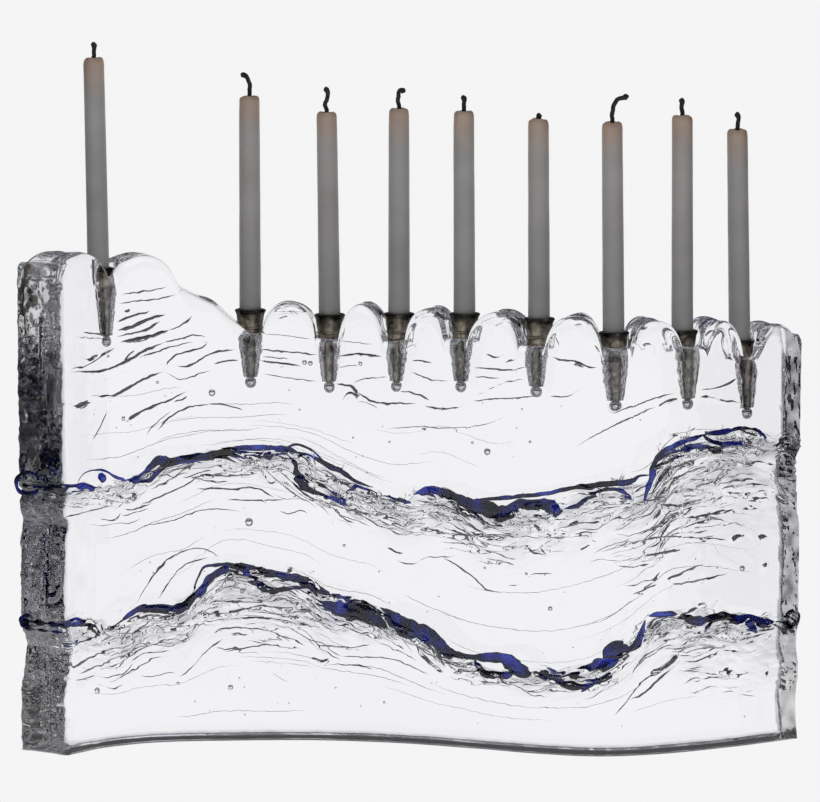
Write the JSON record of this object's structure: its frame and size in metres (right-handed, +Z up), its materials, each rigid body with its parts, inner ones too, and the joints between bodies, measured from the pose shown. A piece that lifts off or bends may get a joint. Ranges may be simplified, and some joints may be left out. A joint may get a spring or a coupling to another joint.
{
  "type": "menorah",
  "caption": "Free-standing S-curved cast-glass menorah in fused courses with cobalt threads, metal drop-in candle cups and slim lift-out candles.",
  "frame": {"origin": "on the ground, at the centre of the bounding box of the footprint", "axes": "+X along the slab towards the end away from the shamash, +Z up, and the front faces -Y"},
  "size_m": [0.3242, 0.0578, 0.2913],
  "materials": {
    "clear_glass": "clear cast glass, fire-polished, with flow lines and small bubbles",
    "cobalt_glass": "deep cobalt blue glass thread",
    "cup_metal": "tarnished turned brass, brown to black at the lip",
    "candle_wax": "smooth grey-white candle wax, slightly warmer at the burnt end",
    "wick_cotton": "charred cotton wick"
  },
  "bodies": {
    "glass": {"glass_lower_course": "clear_glass", "glass_middle_course": "clear_glass", "glass_upper_course": "clear_glass", "cobalt_thread_lower": "cobalt_glass", "cobalt_thread_upper": "cobalt_glass"},
    "shamash_cup": {"shamash_cup": "cup_metal"},
    "shamash_candle": {"shamash_candle": "candle_wax", "shamash_wick": "wick_cotton"},
    "light_1_cup": {"light_1_cup": "cup_metal"},
    "light_1_candle": {"light_1_candle": "candle_wax", "light_1_wick": "wick_cotton"},
    "light_2_cup": {"light_2_cup": "cup_metal"},
    "light_2_candle": {"light_2_candle": "candle_wax", "light_2_wick": "wick_cotton"},
    "light_3_cup": {"light_3_cup": "cup_metal"},
    "light_3_candle": {"light_3_candle": "candle_wax", "light_3_wick": "wick_cotton"},
    "light_4_cup": {"light_4_cup": "cup_metal"},
    "light_4_candle": {"light_4_candle": "candle_wax", "light_4_wick": "wick_cotton"},
    "light_5_cup": {"light_5_cup": "cup_metal"},
    "light_5_candle": {"light_5_candle": "candle_wax", "light_5_wick": "wick_cotton"},
    "light_6_cup": {"light_6_cup": "cup_metal"},
    "light_6_candle": {"light_6_candle": "candle_wax", "light_6_wick": "wick_cotton"},
    "light_7_cup": {"light_7_cup": "cup_metal"},
    "light_7_candle": {"light_7_candle": "candle_wax", "light_7_wick": "wick_cotton"},
    "light_8_cup": {"light_8_cup": "cup_metal"},
    "light_8_candle": {"light_8_candle": "candle_wax", "light_8_wick": "wick_cotton"}
  },
  "joints": [
    {"name": "shamash_cup_lift", "type": "slide", "parent": "glass", "child": "shamash_cup", "axis": [-0.014, 0, 0.9999], "range_m": [0, 0.035]},
    {"name": "shamash_candle_lift", "type": "slide", "parent": "shamash_cup", "child": "shamash_candle", "axis": [-0.014, 0, 0.9999], "range_m": [0, 0.025]},
    {"name": "light_1_cup_lift", "type": "slide", "parent": "glass", "child": "light_1_cup", "axis": [0, 0, 1], "range_m": [0, 0.035]},
    {"name": "light_1_candle_lift", "type": "slide", "parent": "light_1_cup", "child": "light_1_candle", "axis": [0, 0, 1], "range_m": [0, 0.025]},
    {"name": "light_2_cup_lift", "type": "slide", "parent": "glass", "child": "light_2_cup", "axis": [-0.0122, 0, 0.9999], "range_m": [0, 0.035]},
    {"name": "light_2_candle_lift", "type": "slide", "parent": "light_2_cup", "child": "light_2_candle", "axis": [-0.0122, 0, 0.9999], "range_m": [0, 0.025]},
    {"name": "light_3_cup_lift", "type": "slide", "parent": "glass", "child": "light_3_cup", "axis": [0, 0, 1], "range_m": [0, 0.035]},
    {"name": "light_3_candle_lift", "type": "slide", "parent": "light_3_cup", "child": "light_3_candle", "axis": [0, 0, 1], "range_m": [0, 0.025]},
    {"name": "light_4_cup_lift", "type": "slide", "parent": "glass", "child": "light_4_cup", "axis": [-0.0052, 0, 1], "range_m": [0, 0.035]},
    {"name": "light_4_candle_lift", "type": "slide", "parent": "light_4_cup", "child": "light_4_candle", "axis": [-0.0052, 0, 1], "range_m": [0, 0.025]},
    {"name": "light_5_cup_lift", "type": "slide", "parent": "glass", "child": "light_5_cup", "axis": [-0.007, 0, 1], "range_m": [0, 0.035]},
    {"name": "light_5_candle_lift", "type": "slide", "parent": "light_5_cup", "child": "light_5_candle", "axis": [-0.007, 0, 1], "range_m": [0, 0.025]},
    {"name": "light_6_cup_lift", "type": "slide", "parent": "glass", "child": "light_6_cup", "axis": [-0.0122, 0, 0.9999], "range_m": [0, 0.035]},
    {"name": "light_6_candle_lift", "type": "slide", "parent": "light_6_cup", "child": "light_6_candle", "axis": [-0.0122, 0, 0.9999], "range_m": [0, 0.025]},
    {"name": "light_7_cup_lift", "type": "slide", "parent": "glass", "child": "light_7_cup", "axis": [-0.007, 0, 1], "range_m": [0, 0.035]},
    {"name": "light_7_candle_lift", "type": "slide", "parent": "light_7_cup", "child": "light_7_candle", "axis": [-0.007, 0, 1], "range_m": [0, 0.025]},
    {"name": "light_8_cup_lift", "type": "slide", "parent": "glass", "child": "light_8_cup", "axis": [-0.0192, 0, 0.9998], "range_m": [0, 0.035]},
    {"name": "light_8_candle_lift", "type": "slide", "parent": "light_8_cup", "child": "light_8_candle", "axis": [-0.0192, 0, 0.9998], "range_m": [0, 0.025]}
  ]
}
